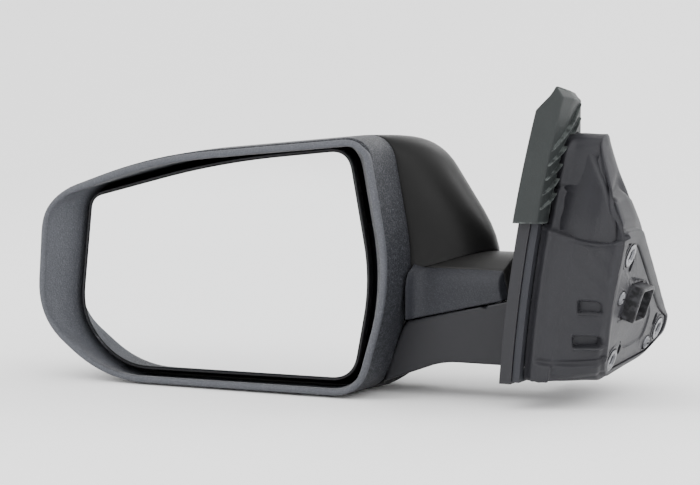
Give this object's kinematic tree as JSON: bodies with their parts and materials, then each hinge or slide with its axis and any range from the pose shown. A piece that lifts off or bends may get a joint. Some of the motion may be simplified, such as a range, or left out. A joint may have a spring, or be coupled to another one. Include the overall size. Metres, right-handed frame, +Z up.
{
  "type": "car side mirror",
  "caption": "Left-hand door mirror with power-adjusted glass in a textured housing, folding on a sprung post beside a triangular door mounting base.",
  "frame": {"origin": "on the flat inboard face of the mounting plate, between the connector socket and the forward insert", "axes": "+Z up, +X inboard towards the door, +Y towards the front of the car; the glass faces -Y"},
  "size_m": [0.3772, 0.1637, 0.1792],
  "materials": {
    "textured_black_plastic": "fine-grained moulded black plastic",
    "satin_black_plastic": "smooth satin black plastic",
    "satin_grey_plastic": "smooth satin dark grey plastic",
    "gasket_rubber": "soft closed-cell rubber",
    "boot_rubber": "matte moulded rubber",
    "seal_rubber": "matte extruded rubber",
    "black_nylon": "black glass-filled nylon",
    "carrier_plastic": "black moulded plastic",
    "white_nylon": "natural nylon",
    "cast_alloy": "black-coated die-cast alloy",
    "steel": "turned steel",
    "spring_steel": "oiled spring steel",
    "motor_steel": "drawn steel can",
    "zinc_steel": "zinc-plated steel",
    "terminal_brass": "tinned terminals",
    "worm_brass": "brass",
    "cable_sheath": "black cable sheath",
    "heater_film": "printed heater film",
    "mirror_glass": "first-quality flat mirror"
  },
  "bodies": {
    "base": {"mount_bracket": "cast_alloy", "base_cover": "satin_grey_plastic", "door_gasket": "gasket_rubber", "sail_boot": "boot_rubber", "corner_seal": "seal_rubber", "connector_housing": "black_nylon", "connector_pins": "terminal_brass", "threaded_insert_1": "zinc_steel", "threaded_insert_2": "zinc_steel", "threaded_insert_3": "zinc_steel", "plate_screw_1": "zinc_steel", "plate_screw_2": "zinc_steel", "pivot_post": "steel", "friction_washer": "white_nylon", "fold_spring": "spring_steel", "spring_washer": "steel", "lock_ring": "steel", "base_harness": "cable_sheath"},
    "head": {"bezel": "textured_black_plastic", "skull_cap": "satin_black_plastic", "arm_cover": "satin_grey_plastic", "head_frame": "cast_alloy", "actuator_case": "black_nylon", "actuator_cover": "black_nylon", "tilt_motor": "motor_steel", "pan_motor": "motor_steel", "actuator_screw_1": "zinc_steel", "actuator_screw_2": "zinc_steel", "actuator_screw_3": "zinc_steel", "head_harness": "cable_sheath"},
    "gimbal": {"gimbal_ring": "white_nylon"},
    "glass": {"glass_carrier": "carrier_plastic", "heater_film": "heater_film", "mirror_glass": "mirror_glass"},
    "tilt_screw": {"tilt_jackscrew": "white_nylon"},
    "pan_screw": {"pan_jackscrew": "white_nylon"},
    "tilt_wheel": {"tilt_worm_wheel": "white_nylon"},
    "pan_wheel": {"pan_worm_wheel": "white_nylon"},
    "tilt_worm_shaft": {"tilt_worm": "worm_brass"},
    "pan_worm_shaft": {"pan_worm": "worm_brass"}
  },
  "joints": [
    {"name": "fold", "type": "hinge", "parent": "base", "child": "head", "pos_m": [-0.103, -0.029, 0.006], "axis": [-0.225, 0, 0.9744], "range_deg": [-50, 65]},
    {"name": "glass_tilt", "type": "hinge", "parent": "head", "child": "gimbal", "pos_m": [-0.243, -0.042, 0.031], "axis": [1, 0, 0], "range_deg": [-8, 8]},
    {"name": "glass_pan", "type": "hinge", "parent": "gimbal", "child": "glass", "pos_m": [-0.243, -0.042, 0.031], "axis": [0, 0, 1], "range_deg": [-8, 8]},
    {"name": "tilt_screw_travel", "type": "slide", "parent": "head", "child": "tilt_screw", "axis": [0, 1, 0], "range_m": [-0.0048, 0.0048]},
    {"name": "pan_screw_travel", "type": "slide", "parent": "head", "child": "pan_screw", "axis": [0, 1, 0], "range_m": [-0.0048, 0.0048]},
    {"name": "tilt_wheel_turn", "type": "hinge", "parent": "head", "child": "tilt_wheel", "pos_m": [-0.243, -0.018, -0.003], "axis": [0, 1, 0], "range_deg": [-145.27, 145.27]},
    {"name": "pan_wheel_turn", "type": "hinge", "parent": "head", "child": "pan_wheel", "pos_m": [-0.277, -0.018, 0.031], "axis": [0, 1, 0], "range_deg": [-145.27, 145.27]},
    {"name": "tilt_worm_turn", "type": "hinge", "parent": "head", "child": "tilt_worm_shaft", "pos_m": [-0.243, -0.018, 0.0103], "axis": [1, 0, 0], "range_deg": [-1452.67, 1452.67]},
    {"name": "pan_worm_turn", "type": "hinge", "parent": "head", "child": "pan_worm_shaft", "pos_m": [-0.2637, -0.018, 0.031], "axis": [0, 0, 1], "range_deg": [-1452.67, 1452.67]}
  ],
  "couplings": [
    {"joint": "tilt_screw_travel", "follows": "glass_tilt", "m_per_rad": 0.034},
    {"joint": "pan_screw_travel", "follows": "glass_pan", "m_per_rad": -0.034},
    {"joint": "tilt_wheel_turn", "follows": "glass_tilt", "ratio": 17.802},
    {"joint": "pan_wheel_turn", "follows": "glass_pan", "ratio": -17.802},
    {"joint": "tilt_worm_turn", "follows": "glass_tilt", "ratio": 178.02},
    {"joint": "pan_worm_turn", "follows": "glass_pan", "ratio": -178.02}
  ]
}
